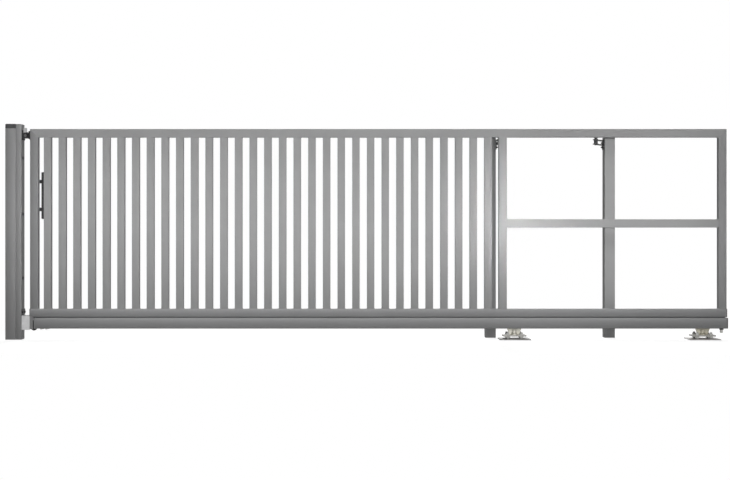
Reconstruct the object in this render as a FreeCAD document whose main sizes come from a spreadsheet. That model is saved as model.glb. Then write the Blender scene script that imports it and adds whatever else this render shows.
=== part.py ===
import FreeCAD, Part
import os
import re
import Sketcher

# Cantilever sliding gate: catch post, two guide posts, two roller carriages and the sliding leaf.
# Millimetres. X runs along the gate from the catch post, Y to the back, Z up from the ground.

SIZES = (
    # Posts and caps
    ("post_side", 80.0), ("post_wall", 3.0), ("post_round", 6.0), ("foot_plate", 8.0),
    ("post_above", 3.0), ("catch_cap_height", 34.0), ("guide_post_below", 23.0),
    ("guide_cap_height", 14.0), ("cap_spigot", 24.0), ("cap_fit", 0.5), ("cap_slope", 5.0),
    ("guide_post_front", 120.0), ("near_post_back", 43.0), ("guide_post_spacing", 912.0),
    # Catch channel
    ("catch_channel_depth", 42.0), ("catch_channel_width", 75.0), ("catch_channel_wall", 3.0),
    ("channel_round", 4.0), ("channel_drop", 2.0),
    # Leaf frame
    ("lead_gap", 58.0), ("leaf_height", 1415.0), ("tail_length", 1715.0), ("frame_face", 62.0),
    ("frame_depth", 40.0), ("frame_wall", 2.5), ("frame_round", 3.5), ("brace_drop", 2.5),
    # Pickets
    ("picket_face", 56.5), ("picket_depth", 34.0), ("picket_wall", 2.0), ("picket_round", 3.0),
    ("picket_pitch", 110.5), ("picket_count", 31.0), ("picket_gap", 41.0), ("divider_gap", 50.5),
    # Guide channel behind the top rail
    ("guide_depth", 56.0), ("guide_width", 40.0), ("guide_wall", 3.0), ("guide_round", 4.0),
    # Track under the leaf
    ("track_low", 83.0), ("track_side", 80.0), ("track_wall", 5.0), ("track_round", 5.0),
    ("track_inner_round", 3.0), ("track_slot", 24.0), ("track_setback", 43.0), ("track_inset", 5.0),
    ("strip_width", 26.0), ("strip_height", 5.0), ("strip_inset", 6.0), ("track_cap_thick", 9.0),
    ("rail_cap_thick", 4.0), ("rail_cap_edge", 1.5), ("plug_length", 12.0), ("plug_fit", 0.5),
    # Fork and roller at the lead end of the track
    ("fork_flange", 8.0), ("fork_length", 47.0), ("fork_rise", 32.0), ("tongue_tall", 28.0),
    ("end_roller_back", 25.0), ("end_roller_rise", 6.0), ("end_roller_radius", 23.0),
    ("end_roller_half", 7.2), ("end_pin_radius", 5.0), ("cheek_gap", 1.0), ("cheek_thick", 3.2),
    ("cheek_half", 18.0), ("cheek_drop", 10.0), ("cheek_round", 9.0), ("running_fit", 0.08),
    ("roller_edge", 2.0), ("roller_groove", 1.6), ("roller_groove_half", 3.0),
    # Closing stop under the tail
    ("stop_back", 28.0), ("stop_drop", 35.0), ("stop_radius", 11.0), ("stop_shank", 8.0),
    ("stop_shoulder", 3.0), ("stop_nut_half", 14.0), ("stop_nut_thick", 6.0),
    ("stop_nut_width", 60.0), ("stop_edge", 2.0),
    # Buffer on the lead upright
    ("buffer_down", 15.0), ("buffer_tall", 60.0), ("buffer_flange", 12.0),
    ("buffer_flange_half", 14.0), ("nose_reach", 33.0), ("nose_half", 11.0), ("nose_down", 33.0),
    ("nose_tall", 34.0), ("nose_round", 5.0),
    # Pull handle behind the lead upright
    ("handle_above", 740.0), ("handle_length", 355.0), ("handle_beside", 14.0),
    ("handle_out", 42.0), ("handle_radius", 14.0), ("handle_edge", 4.0), ("standoff_inset", 72.0),
    ("standoff_radius", 13.5), ("standoff_beside", 24.0), ("rosette_radius", 17.0),
    ("rosette_thick", 5.0),
    # Upper catcher
    ("jaw_base", 4.0), ("jaw_base_half", 31.0), ("jaw_base_down", 9.0), ("jaw_base_tall", 74.0),
    ("jaw_down", 27.0), ("jaw_tall", 41.0), ("jaw_length", 37.0), ("jaw_inner", 17.0),
    ("jaw_thick", 10.0), ("jaw_flare", 6.0), ("jaw_flare_length", 14.0), ("jaw_round", 4.0),
    ("tab_beside", 8.0), ("tab_length", 26.0), ("tab_tall", 34.0), ("tab_thick", 4.0),
    # Lower catcher
    ("lower_plate_thick", 5.0), ("lower_plate_half", 37.0), ("lower_plate_tall", 156.0),
    ("pocket_under", 9.0), ("pocket_tall", 105.0), ("pocket_clear", 6.0), ("pocket_wall", 3.0),
    ("pocket_round", 6.0), ("pocket_length", 60.0), ("floor_short", 16.0), ("lip_length", 28.0),
    ("lip_flare", 11.0), ("lip_rise", 6.0),
    # Top guide brackets and rollers
    ("bracket_plate", 5.0), ("bracket_tall", 78.0), ("bracket_above", 7.0), ("bracket_back", 60.0),
    ("bracket_inset", 10.0), ("bracket_round", 8.0), ("arm_below", 14.0), ("arm_space", 39.0),
    ("arm_thick", 6.0), ("near_reach", 16.0), ("far_reach", 85.0), ("arm_half", 16.0), ("arm_front", 14.0),
    ("arm_knee", 34.0), ("arm_round", 10.0), ("guide_roller_play", 1.0), ("guide_roller_drop", 6.0),
    ("guide_roller_tall", 51.0), ("guide_drum_radius", 15.0), ("guide_spindle", 6.0),
    ("guide_gap", 1.0), ("guide_hub", 10.0),
    # Carriages
    ("carriage_ahead", 119.0), ("rear_carriage_back", 176.0), ("base_length", 235.0),
    ("base_depth", 170.0), ("base_thick", 6.0), ("base_round", 12.0), ("anchor_inset_x", 22.5),
    ("anchor_inset_y", 20.0), ("anchor_radius", 7.0), ("seat_length", 175.0), ("seat_depth", 112.0),
    ("seat_low", 24.0), ("seat_thick", 10.0), ("seat_round", 10.0), ("stud_inset_x", 36.5),
    ("stud_inset_y", 16.0), ("stud_radius", 8.0), ("stud_over", 9.0), ("stud_play", 0.4),
    ("nut_flat", 12.0), ("nut_thick", 12.0), ("neck_half", 7.0), ("neck_foot", 36.0),
    ("neck_shoulder", 54.0), ("neck_in_track", 55.0), ("neck_round", 14.0), ("boss_radius", 19.0),
    ("boss_below", 9.0), ("boss_foot", 27.0), ("boss_foot_tall", 7.0), ("axle_spacing", 68.0),
    ("axle_radius", 7.0), ("axle_half", 31.0), ("axle_fit", 0.3), ("wheel_radius", 22.0),
    ("wheel_seat", 0.3), ("wheel_beside", 1.0), ("wheel_width", 16.0), ("wheel_edge", 2.0),
)

# Places that follow from the sizes above.
PLACES = (
    ("half_post", "post_side / 2"),
    ("channel_front", "half_post + catch_channel_depth"),
    ("leaf_start", "channel_front + lead_gap"),
    ("lead_inside", "leaf_start + frame_face"),
    ("picket_start", "lead_inside + picket_gap"),
    ("picket_end", "picket_start + picket_pitch * (picket_count - 1) + picket_face"),
    ("divider_start", "picket_end + divider_gap"),
    ("divider_end", "divider_start + frame_face"),
    ("leaf_end", "divider_start + tail_length"),
    ("tail_inside", "leaf_end - frame_face"),
    ("half_frame", "frame_depth / 2"),
    ("half_picket", "picket_depth / 2"),
    ("half_track", "track_side / 2"),
    ("inner_track", "half_track - track_wall"),
    ("half_slot", "track_slot / 2"),
    ("track_floor", "track_low + track_wall"),
    ("track_top", "track_low + track_side"),
    ("track_roof", "track_top - track_wall"),
    ("track_start", "leaf_start + track_setback"),
    ("track_end", "leaf_end - track_inset"),
    ("leaf_low", "track_top + strip_height"),
    ("rail_top", "leaf_low + frame_face"),
    ("leaf_top", "leaf_low + leaf_height"),
    ("top_rail_low", "leaf_top - frame_face"),
    ("brace_low", "(leaf_low + leaf_top - frame_face) / 2 - brace_drop"),
    ("guide_low", "leaf_top - guide_depth"),
    ("guide_back", "half_frame + guide_width"),
    ("guide_axis_y", "half_frame + guide_width / 2"),
    ("catch_post_top", "leaf_top + post_above"),
    ("catch_cap_top", "catch_post_top + catch_cap_height"),
    ("catch_channel_top", "catch_cap_top - channel_drop"),
    ("half_channel", "catch_channel_width / 2"),
    ("guide_post_top", "leaf_top - guide_post_below"),
    ("guide_cap_top", "guide_post_top + guide_cap_height"),
    ("guide_post_y", "guide_post_front + half_post"),
    ("near_post_x", "divider_start - near_post_back"),
    ("far_post_x", "near_post_x + guide_post_spacing"),
    ("arm_top", "guide_low - arm_below"),
    ("arm_low", "arm_top - arm_space"),
    ("plate_front_y", "guide_post_front + bracket_inset"),
    ("plate_back_y", "plate_front_y + bracket_back"),
    ("plate_face", "half_post + bracket_plate"),
    ("near_arm_axis", "half_post + near_reach"),
    ("far_arm_axis", "half_post + far_reach"),
    ("arm_tip_y", "guide_axis_y - arm_front"),
    ("arm_knee_y", "guide_axis_y + arm_knee"),
    ("plate_high", "arm_top + bracket_above"),
    ("plate_low", "plate_high - bracket_tall"),
    ("guide_roller_radius", "guide_width / 2 - guide_wall - guide_roller_play"),
    ("guide_roller_low", "guide_low - guide_roller_drop"),
    ("guide_roller_high", "guide_roller_low + guide_roller_tall"),
    ("front_carriage_x", "divider_start + carriage_ahead"),
    ("rear_carriage_x", "leaf_end - rear_carriage_back"),
    ("seat_top", "seat_low + seat_thick"),
    ("anchor_x", "base_length / 2 - anchor_inset_x"),
    ("anchor_y", "base_depth / 2 - anchor_inset_y"),
    ("stud_x", "seat_length / 2 - stud_inset_x"),
    ("stud_y", "seat_depth / 2 - stud_inset_y"),
    ("stud_top", "seat_top + nut_thick + stud_over"),
    ("nut_point", "nut_flat * 2 / 3 ^ 0.5"),
    ("nut_side", "nut_flat / 3 ^ 0.5"),
    ("neck_top", "track_low + neck_in_track"),
    ("boss_top", "track_low - boss_below"),
    ("axle_x", "axle_spacing / 2"),
    ("axle_z", "track_floor + wheel_radius + wheel_seat"),
    ("wheel_inner", "half_slot + wheel_beside"),
    ("wheel_outer", "wheel_inner + wheel_width"),
    ("end_roller_x", "leaf_start + end_roller_back"),
    ("end_roller_z", "track_low + end_roller_rise"),
    ("cheek_inner", "end_roller_half + cheek_gap"),
    ("cheek_outer", "cheek_inner + cheek_thick"),
    ("cheek_front", "end_roller_x - cheek_half"),
    ("flange_front", "track_start - fork_flange"),
    ("fork_low", "track_low + fork_rise"),
    ("cheek_low", "end_roller_z - cheek_drop"),
    ("plug_half", "inner_track - plug_fit"),
    ("plug_roof", "track_roof - plug_fit"),
    ("plug_floor", "track_floor + plug_fit"),
    ("stop_x", "track_end - stop_back"),
    ("stop_low", "track_low - stop_drop"),
    ("stop_neck", "track_low - stop_shoulder"),
    ("buffer_high", "leaf_top - buffer_down"),
    ("buffer_low", "buffer_high - buffer_tall"),
    ("buffer_face", "leaf_start - buffer_flange"),
    ("nose_high", "leaf_top - nose_down"),
    ("nose_low", "nose_high - nose_tall"),
    ("handle_x", "lead_inside + handle_beside"),
    ("handle_y", "half_frame + handle_out"),
    ("handle_low", "leaf_low + handle_above"),
    ("handle_high", "handle_low + handle_length"),
    ("standoff_x", "lead_inside - standoff_beside"),
    ("standoff_low", "handle_low + standoff_inset"),
    ("standoff_high", "handle_high - standoff_inset"),
    ("jaw_base_high", "leaf_top - jaw_base_down"),
    ("jaw_base_low", "jaw_base_high - jaw_base_tall"),
    ("jaw_high", "leaf_top - jaw_down"),
    ("jaw_low", "jaw_high - jaw_tall"),
    ("jaw_start", "channel_front + jaw_base"),
    ("jaw_end", "jaw_start + jaw_length"),
    ("jaw_bend", "jaw_end - jaw_flare_length"),
    ("jaw_outer", "jaw_inner + jaw_thick"),
    ("tab_start", "jaw_start + tab_beside"),
    ("tab_end", "tab_start + tab_length"),
    ("tab_top", "jaw_high + tab_tall"),
    ("pocket_low", "track_low - pocket_under"),
    ("pocket_top", "pocket_low + pocket_tall"),
    ("pocket_start", "channel_front + lower_plate_thick"),
    ("pocket_end", "pocket_start + pocket_length"),
    ("lip_end", "pocket_end + lip_length"),
    ("pocket_inner", "half_track + pocket_clear"),
    ("pocket_outer", "pocket_inner + pocket_wall"),
    ("lower_plate_top", "pocket_low + lower_plate_tall"),
)

doc = FreeCAD.newDocument("sliding_gate")
sheet = doc.addObject("Spreadsheet::Sheet", "sizes")
cells = [(alias, str(size)) for alias, size in SIZES] + [(alias, "=" + rule) for alias, rule in PLACES]
for row, (alias, content) in enumerate(cells, start=1):
    sheet.set("A%d" % row, alias)
    sheet.setAlias("B%d" % row, alias)
    sheet.set("B%d" % row, content)
doc.recompute()

NAMES = re.compile(r"[a-z_]{4,}")
NEAR = 0.01
PARALLEL = 0.999
POINT = FreeCAD.Vector
nodes = []


def bound(text):
    """An expression in which every size name points at the sheet."""
    return NAMES.sub(lambda found: "sizes." + found.group(0), str(text))


def origin_feature(body, role):
    """The plane or axis of the body's own origin with that role."""
    return [item for item in body.Origin.OriginFeatures if item.Role == role][0]


def rectangle(left, right, low, high):
    """Corner list of an upright rectangle."""
    return [(left, low), (right, low), (right, high), (left, high)]


def mirrored_square(half):
    """Corner list of a square about the middle."""
    return rectangle(f"-{half}", half, f"-{half}", half)


def circle(across, up, radius):
    """A round outline."""
    return {"across": across, "up": up, "radius": radius}


def hexagon(across, up):
    """A hexagon nut outline with two flats left and right."""
    turn = (("nut_flat", "nut_side"), ("0", "nut_point"), ("-nut_flat", "nut_side"),
            ("-nut_flat", "-nut_side"), ("0", "-nut_point"), ("nut_flat", "-nut_side"))
    return [(f"{across} + {dx}", f"{up} + {dy}") for dx, dy in turn]


def four(across, up):
    """The four mirrored places of one point."""
    return [(f"{sx}{across}", f"{sy}{up}") for sx in ("", "-") for sy in ("", "-")]


def new_body(name, place_x=None, place_y=None, place_z=None):
    """An empty body for one node, with its place bound to the sheet."""
    body = doc.addObject("PartDesign::Body", name)
    body.Label = name
    for axis, place in (("x", place_x), ("y", place_y), ("z", place_z)):
        if place is not None:
            body.setExpression("Placement.Base." + axis, bound(place))
    nodes.append(body)
    return body


def add_polygon(sketch, corners):
    """A closed outline whose corners are held by their own two distances."""
    first = sketch.GeometryCount
    count = len(corners)
    spread = [POINT(10.0 * index, float(index * index), 0) for index in range(count)]
    for index in range(count):
        sketch.addGeometry(Part.LineSegment(spread[index], spread[(index + 1) % count]), False)
    for index in range(count):
        following = first + (index + 1) % count
        sketch.addConstraint(Sketcher.Constraint("Coincident", first + index, 2, following, 1))
    for index, (across, up) in enumerate(corners):
        corner = spread[index]
        for kind, start, text in (("DistanceX", corner.x, across), ("DistanceY", corner.y, up)):
            number = sketch.addConstraint(Sketcher.Constraint(kind, first + index, 1, start))
            sketch.setExpression("Constraints[%d]" % number, bound(text))


def add_circle(sketch, outline):
    """A circle held by its centre and radius."""
    index = sketch.addGeometry(Part.Circle(POINT(1, 1, 0), POINT(0, 0, 1), 1.0), False)
    held = (
        (Sketcher.Constraint("DistanceX", index, 3, 1.0), outline["across"]),
        (Sketcher.Constraint("DistanceY", index, 3, 1.0), outline["up"]),
        (Sketcher.Constraint("Radius", index, 1.0), outline["radius"]),
    )
    for constraint, text in held:
        number = sketch.addConstraint(constraint)
        sketch.setExpression("Constraints[%d]" % number, bound(text))


def outline_sketch(body, plane, loops, offset="0"):
    """A sketch on one of the body's planes, moved along the plane's normal."""
    sketch = body.newObject("Sketcher::SketchObject", body.Name + "_outline")
    sketch.AttachmentSupport = [(origin_feature(body, plane), "")]
    sketch.MapMode = "FlatFace"
    sketch.setExpression("AttachmentOffset.Base.z", bound(offset))
    for loop in loops:
        if isinstance(loop, dict):
            add_circle(sketch, loop)
        else:
            add_polygon(sketch, loop)
    return sketch


def prism(body, plane, loops, low, high):
    """Adds the outlines as a block between two places along the plane's axis."""
    offset = f"-({high})" if plane == "XZ_Plane" else low
    pad = body.newObject("PartDesign::Pad", body.Name + "_block")
    pad.Profile = outline_sketch(body, plane, loops, offset)
    pad.setExpression("Length", bound(f"({high}) - ({low})"))
    doc.recompute()
    return pad


def cut(body, plane, loops, low, high):
    """Takes the outlines away between two places along the plane's axis."""
    offset = f"-({low})" if plane == "XZ_Plane" else high
    pocket = body.newObject("PartDesign::Pocket", body.Name + "_cut")
    pocket.Profile = outline_sketch(body, plane, loops, offset)
    pocket.setExpression("Length", bound(f"({high}) - ({low})"))
    doc.recompute()
    return pocket


def turned(body, plane, axis, loops):
    """Adds the outlines turned once round an axis of the body."""
    turn = body.newObject("PartDesign::Revolution", body.Name + "_turned")
    turn.Profile = outline_sketch(body, plane, loops)
    turn.ReferenceAxis = (origin_feature(body, axis), [""])
    turn.Angle = 360.0
    doc.recompute()
    return turn


def repeated(body, axis, length, count):
    """Repeats the whole body so far in a row along one of its axes."""
    pattern = body.newObject("PartDesign::LinearPattern", body.Name + "_row")
    pattern.TransformMode = "Whole shape"
    pattern.Direction = (origin_feature(body, axis), [""])
    pattern.setExpression("Length", bound(length))
    pattern.setExpression("Occurrences", bound(count))
    body.Tip = pattern
    doc.recompute()
    return pattern


def runs_along(direction):
    """A test for straight edges that run along a direction."""
    def test(edge):
        straight = edge.Curve.TypeId == "Part::GeomLine"
        return straight and abs(edge.tangentAt(edge.FirstParameter).dot(POINT(*direction))) > PARALLEL
    return test


along_x = runs_along((1, 0, 0))
along_y = runs_along((0, 1, 0))
along_z = runs_along((0, 0, 1))


def soften(body, kind, size, test):
    """Rounds or bevels the edges of the body so far that pass the test."""
    feature = body.Tip
    names = ["Edge%d" % number for number, edge in enumerate(feature.Shape.Edges, start=1) if test(edge)]
    dress = body.newObject("PartDesign::" + kind, body.Name + "_edges")
    dress.Base = (feature, names)
    dress.setExpression("Radius" if kind == "Fillet" else "Size", bound(size))
    doc.recompute()
    return dress


def place_of(alias):
    """The present value of one size or place in the sheet."""
    return float(sheet.get(alias))


# Tubes

def tube_x(name, start, end, half, low, high, wall, corner):
    """A hollow rail along X with rounded corners and open ends."""
    body = new_body(name)
    prism(body, "YZ_Plane", [rectangle(f"-{half}", half, low, high)], start, end)
    soften(body, "Fillet", corner, along_x)
    inner = rectangle(f"-{half} + {wall}", f"{half} - {wall}", f"{low} + {wall}", f"{high} - {wall}")
    cut(body, "YZ_Plane", [inner], start, end)
    return body


def tube_z(name, start, end, half, low, high, wall, corner):
    """A hollow upright along Z with rounded corners and open ends."""
    body = new_body(name)
    prism(body, "XY_Plane", [rectangle(start, end, f"-{half}", half)], low, high)
    soften(body, "Fillet", corner, along_z)
    inner = rectangle(f"{start} + {wall}", f"{end} - {wall}", f"-{half} + {wall}", f"{half} - {wall}")
    cut(body, "XY_Plane", [inner], low, high)
    return body


def ground_post(name, top, place_x=None, place_y=None):
    """A square tube with a closed foot plate, open at the top."""
    body = new_body(name, place_x, place_y)
    prism(body, "XY_Plane", [mirrored_square("half_post")], "0", top)
    soften(body, "Fillet", "post_round", along_z)
    cut(body, "XY_Plane", [mirrored_square("(half_post - post_wall)")], "foot_plate", top)
    return body


def post_cap(name, low, high, place_x=None, place_y=None):
    """A moulded cap with a sloped rim and a spigot that stands in the tube."""
    body = new_body(name, place_x, place_y)
    prism(body, "XY_Plane", [mirrored_square("half_post")], low, high)
    soften(body, "Fillet", "post_round", along_z)
    crown = body.Tip.Shape.BoundBox.ZMax
    soften(body, "Chamfer", "cap_slope", lambda edge: edge.BoundBox.ZMin > crown - NEAR)
    spigot = mirrored_square("(half_post - post_wall - cap_fit)")
    prism(body, "XY_Plane", [spigot], f"{low} - cap_spigot", low)
    return body


# Catch post with its channel

ground_post("catch_post", "catch_post_top")
post_cap("catch_post_cap", "catch_post_top", "catch_cap_top")

channel = new_body("catch_channel")
prism(channel, "XY_Plane", [rectangle("half_post", "channel_front", "-half_channel", "half_channel")],
      "0", "catch_channel_top")
web_side = place_of("channel_front") - NEAR
soften(channel, "Fillet", "channel_round", lambda edge: along_z(edge) and edge.CenterOfMass.x > web_side)
channel_room = rectangle("half_post", "channel_front - catch_channel_wall",
                         "catch_channel_wall - half_channel", "half_channel - catch_channel_wall")
cut(channel, "XY_Plane", [channel_room], "0", "catch_channel_top")


# Upper catcher: two flared jaws on a base plate, with a light angle tab on top

jaws = new_body("upper_catch_jaws")
jaw_loops = []
for side in ("", "-"):
    jaw_loops.append([
        ("jaw_start", f"{side}jaw_inner"), ("jaw_bend", f"{side}jaw_inner"),
        ("jaw_end", f"{side}(jaw_inner + jaw_flare)"), ("jaw_end", f"{side}(jaw_outer + jaw_flare)"),
        ("jaw_bend", f"{side}jaw_outer"), ("jaw_start", f"{side}jaw_outer"),
    ])
prism(jaws, "XY_Plane", [rectangle("channel_front", "jaw_start", "-jaw_base_half", "jaw_base_half")],
      "jaw_base_low", "jaw_base_high")
soften(jaws, "Fillet", "jaw_round", along_x)
prism(jaws, "XY_Plane", jaw_loops, "jaw_low", "jaw_high")

tab = new_body("upper_catch_tab")
tab_outline = [
    ("-jaw_outer", "jaw_high"), ("jaw_outer", "jaw_high"), ("jaw_outer", "jaw_high + tab_thick"),
    ("tab_thick - jaw_outer", "jaw_high + tab_thick"), ("tab_thick - jaw_outer", "tab_top"),
    ("-jaw_outer", "tab_top"),
]
prism(tab, "YZ_Plane", [tab_outline], "tab_start", "tab_end")
tab_crown = place_of("tab_top") - NEAR
soften(tab, "Fillet", "jaw_round", lambda edge: along_y(edge) and edge.CenterOfMass.z > tab_crown)


# Lower catcher: a plate on the channel and a pocket of bent sheet with flared lips

lower_plate = new_body("lower_catch_plate")
lower_plate_outline = rectangle("channel_front", "pocket_start", "-lower_plate_half", "lower_plate_half")
prism(lower_plate, "XY_Plane", [lower_plate_outline], "pocket_low", "lower_plate_top")
soften(lower_plate, "Fillet", "pocket_round", along_x)

catcher = new_body("lower_catch_pocket")
prism(catcher, "YZ_Plane", [rectangle("-pocket_outer", "pocket_outer", "pocket_low", "pocket_top")],
      "pocket_start", "pocket_end")
bend_height = place_of("pocket_low") + NEAR
soften(catcher, "Fillet", "pocket_round", lambda edge: along_x(edge) and edge.CenterOfMass.z < bend_height)
pocket_room = rectangle("-pocket_inner", "pocket_inner", "pocket_low + pocket_wall", "pocket_top")
cut(catcher, "YZ_Plane", [pocket_room], "pocket_start + pocket_wall", "pocket_end")
floor_notch = rectangle("pocket_end - floor_short", "pocket_end", "-pocket_inner", "pocket_inner")
cut(catcher, "XY_Plane", [floor_notch], "pocket_low", "pocket_low + pocket_wall")
lip_loops = []
for side in ("", "-"):
    lip_loops.append([
        ("pocket_end", f"{side}pocket_inner"), ("lip_end", f"{side}(pocket_inner + lip_flare)"),
        ("lip_end", f"{side}(pocket_outer + lip_flare)"), ("pocket_end", f"{side}pocket_outer"),
    ])
prism(catcher, "XY_Plane", lip_loops, "pocket_low + lip_rise", "pocket_top")


# Guide posts with their top guides

for label, place, inward in (("near", "near_post_x", ""), ("far", "far_post_x", "-")):
    ground_post(label + "_guide_post", "guide_post_top", place, "guide_post_y")
    post_cap(label + "_post_cap", "guide_post_top", "guide_cap_top", place, "guide_post_y")

    # The bracket is bolted to the post's inner side, and its two forked arms reach to the roller's axis.
    arm_axis = label + "_arm_axis"
    bracket = new_body(label + "_guide_bracket", place)
    plate_loop = [(f"{inward}half_post", "plate_front_y"), (f"{inward}plate_face", "plate_front_y"),
                  (f"{inward}plate_face", "plate_back_y"), (f"{inward}half_post", "plate_back_y")]
    prism(bracket, "XY_Plane", [plate_loop], "plate_low", "plate_high")
    soften(bracket, "Fillet", "bracket_round", along_x)
    arm_loop = [
        (f"{inward}half_post", "plate_front_y"), (f"{inward}({arm_axis} - arm_half)", "arm_knee_y"),
        (f"{inward}({arm_axis} - arm_half)", "arm_tip_y"), (f"{inward}({arm_axis} + arm_half)", "arm_tip_y"),
        (f"{inward}({arm_axis} + arm_half)", "arm_knee_y"), (f"{inward}plate_face", "plate_back_y"),
        (f"{inward}half_post", "plate_back_y"),
    ]
    for arm in ("arm_top - arm_thick", "arm_low"):
        prism(bracket, "XY_Plane", [arm_loop], arm, f"{arm} + arm_thick")
    tip_line = place_of("arm_tip_y") + NEAR
    soften(bracket, "Fillet", "arm_round", lambda edge: along_z(edge) and edge.CenterOfMass.y < tip_line)
    bore = circle(f"{inward}{arm_axis}", "guide_axis_y", "guide_spindle + running_fit")
    cut(bracket, "XY_Plane", [bore], "arm_low", "arm_top")

    # The roller's spindle stands in both arms, its drum sits between them and its head runs in the channel.
    roller = new_body(label + "_guide_roller", f"{place} + {inward}{arm_axis}", "guide_axis_y")
    drum_low = "(arm_low + arm_thick + guide_gap)"
    drum_high = "(arm_top - arm_thick - guide_gap)"
    roller_profile = [
        ("0", "arm_low"), ("guide_spindle", "arm_low"), ("guide_spindle", drum_low),
        ("guide_drum_radius - roller_edge", drum_low), ("guide_drum_radius", f"{drum_low} + roller_edge"),
        ("guide_drum_radius", f"{drum_high} - roller_edge"), ("guide_drum_radius - roller_edge", drum_high),
        ("guide_spindle", drum_high), ("guide_spindle", "arm_top + guide_gap"),
        ("guide_hub", "arm_top + guide_gap"), ("guide_hub", "guide_roller_low"),
        ("guide_roller_radius - roller_edge", "guide_roller_low"),
        ("guide_roller_radius", "guide_roller_low + roller_edge"),
        ("guide_roller_radius", "guide_roller_high - roller_edge"),
        ("guide_roller_radius - roller_edge", "guide_roller_high"), ("0", "guide_roller_high"),
    ]
    turned(roller, "XZ_Plane", "Z_Axis", [roller_profile])


# Carriages: ground plate, levelling studs with nuts, seat plate, neck and wheels

for label, place in (("front", "front_carriage_x"), ("rear", "rear_carriage_x")):
    base = new_body(label + "_carriage_base", place)
    base_outline = rectangle("-base_length / 2", "base_length / 2", "-base_depth / 2", "base_depth / 2")
    prism(base, "XY_Plane", [base_outline], "0", "base_thick")
    soften(base, "Fillet", "base_round", along_z)
    anchors = [circle(across, up, "anchor_radius") for across, up in four("anchor_x", "anchor_y")]
    cut(base, "XY_Plane", anchors, "0", "base_thick")

    stud_places = four("stud_x", "stud_y")
    studs = new_body(label + "_carriage_studs", place)
    prism(studs, "XY_Plane", [circle(across, up, "stud_radius") for across, up in stud_places],
          "base_thick", "stud_top")
    nut_loops = [hexagon(across, up) for across, up in stud_places]
    prism(studs, "XY_Plane", nut_loops, "seat_low - nut_thick", "seat_low")
    prism(studs, "XY_Plane", nut_loops, "seat_top", "seat_top + nut_thick")

    seat = new_body(label + "_carriage_seat", place)
    seat_outline = rectangle("-seat_length / 2", "seat_length / 2", "-seat_depth / 2", "seat_depth / 2")
    prism(seat, "XY_Plane", [seat_outline], "seat_low", "seat_top")
    soften(seat, "Fillet", "seat_round", along_z)
    stud_holes = [circle(across, up, "stud_radius + stud_play") for across, up in stud_places]
    cut(seat, "XY_Plane", stud_holes, "seat_low", "seat_top")

    neck = new_body(label + "_carriage_neck", place)
    neck_outline = [
        ("-neck_foot", "seat_top"), ("neck_foot", "seat_top"), ("neck_shoulder", "track_low"),
        ("neck_shoulder", "neck_top"), ("-neck_shoulder", "neck_top"), ("-neck_shoulder", "track_low"),
    ]
    prism(neck, "XZ_Plane", [neck_outline], "-neck_half", "neck_half")
    in_track = place_of("axle_z")
    soften(neck, "Fillet", "neck_round", lambda edge: along_y(edge) and edge.CenterOfMass.z > in_track)
    axle_holes = [circle(f"{side}axle_x", "axle_z", "axle_radius + axle_fit") for side in ("", "-")]
    cut(neck, "XZ_Plane", axle_holes, "-neck_half", "neck_half")
    boss_profile = [
        ("0", "seat_top"), ("boss_foot", "seat_top"), ("boss_foot", "seat_top + boss_foot_tall"),
        ("boss_radius", "seat_top + boss_foot_tall * 2"), ("boss_radius", "boss_top"), ("0", "boss_top"),
    ]
    turned(neck, "XZ_Plane", "Z_Axis", [boss_profile])

    wheels = new_body(label + "_carriage_wheels", f"{place} - axle_x", None, "axle_z")
    wheel_profile = [("0", "-axle_half"), ("axle_radius", "-axle_half")]
    rim_steps = (
        ("axle_radius", "wheel_outer"), ("wheel_radius - wheel_edge", "wheel_outer"),
        ("wheel_radius", "wheel_outer - wheel_edge"),
        ("wheel_radius", "wheel_inner + wheel_edge"), ("wheel_radius - wheel_edge", "wheel_inner"),
        ("axle_radius", "wheel_inner"),
    )
    wheel_profile += [(radius, f"-({across})") for radius, across in rim_steps]
    wheel_profile += list(reversed(rim_steps))
    wheel_profile += [("axle_radius", "axle_half"), ("0", "axle_half")]
    turned(wheels, "XY_Plane", "Y_Axis", [wheel_profile])
    repeated(wheels, "X_Axis", "axle_spacing", "2")


# Leaf frame

top_rail = tube_x("top_rail", "leaf_start", "leaf_end", "half_frame", "top_rail_low", "leaf_top",
                  "frame_wall", "frame_round")
lead_mitre = [("leaf_start", "leaf_top"), ("leaf_start", "top_rail_low"), ("lead_inside", "top_rail_low")]
tail_mitre = [("leaf_end", "leaf_top"), ("leaf_end", "top_rail_low"), ("tail_inside", "top_rail_low")]
cut(top_rail, "XZ_Plane", [lead_mitre, tail_mitre], "-half_frame", "half_frame")

tube_x("bottom_rail", "leaf_start", "leaf_end", "half_frame", "leaf_low", "rail_top",
       "frame_wall", "frame_round")

lead = tube_z("lead_upright", "leaf_start", "lead_inside", "half_frame", "rail_top", "leaf_top",
              "frame_wall", "frame_round")
lead_corner = [("leaf_start", "leaf_top"), ("lead_inside", "leaf_top"), ("lead_inside", "top_rail_low")]
cut(lead, "XZ_Plane", [lead_corner], "-half_frame", "half_frame")

tail = tube_z("tail_upright", "tail_inside", "leaf_end", "half_frame", "rail_top", "leaf_top",
              "frame_wall", "frame_round")
tail_corner = [("leaf_end", "leaf_top"), ("tail_inside", "leaf_top"), ("tail_inside", "top_rail_low")]
cut(tail, "XZ_Plane", [tail_corner], "-half_frame", "half_frame")

tube_z("divider_upright", "divider_start", "divider_end", "half_frame", "rail_top", "top_rail_low",
       "frame_wall", "frame_round")
tube_x("tail_brace", "divider_end", "tail_inside", "half_frame", "brace_low", "brace_low + frame_face",
       "frame_wall", "frame_round")

pickets = tube_z("pickets", "picket_start", "picket_start + picket_face", "half_picket",
                 "rail_top", "top_rail_low", "picket_wall", "picket_round")
repeated(pickets, "X_Axis", "picket_pitch * (picket_count - 1)", "picket_count")

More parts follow.
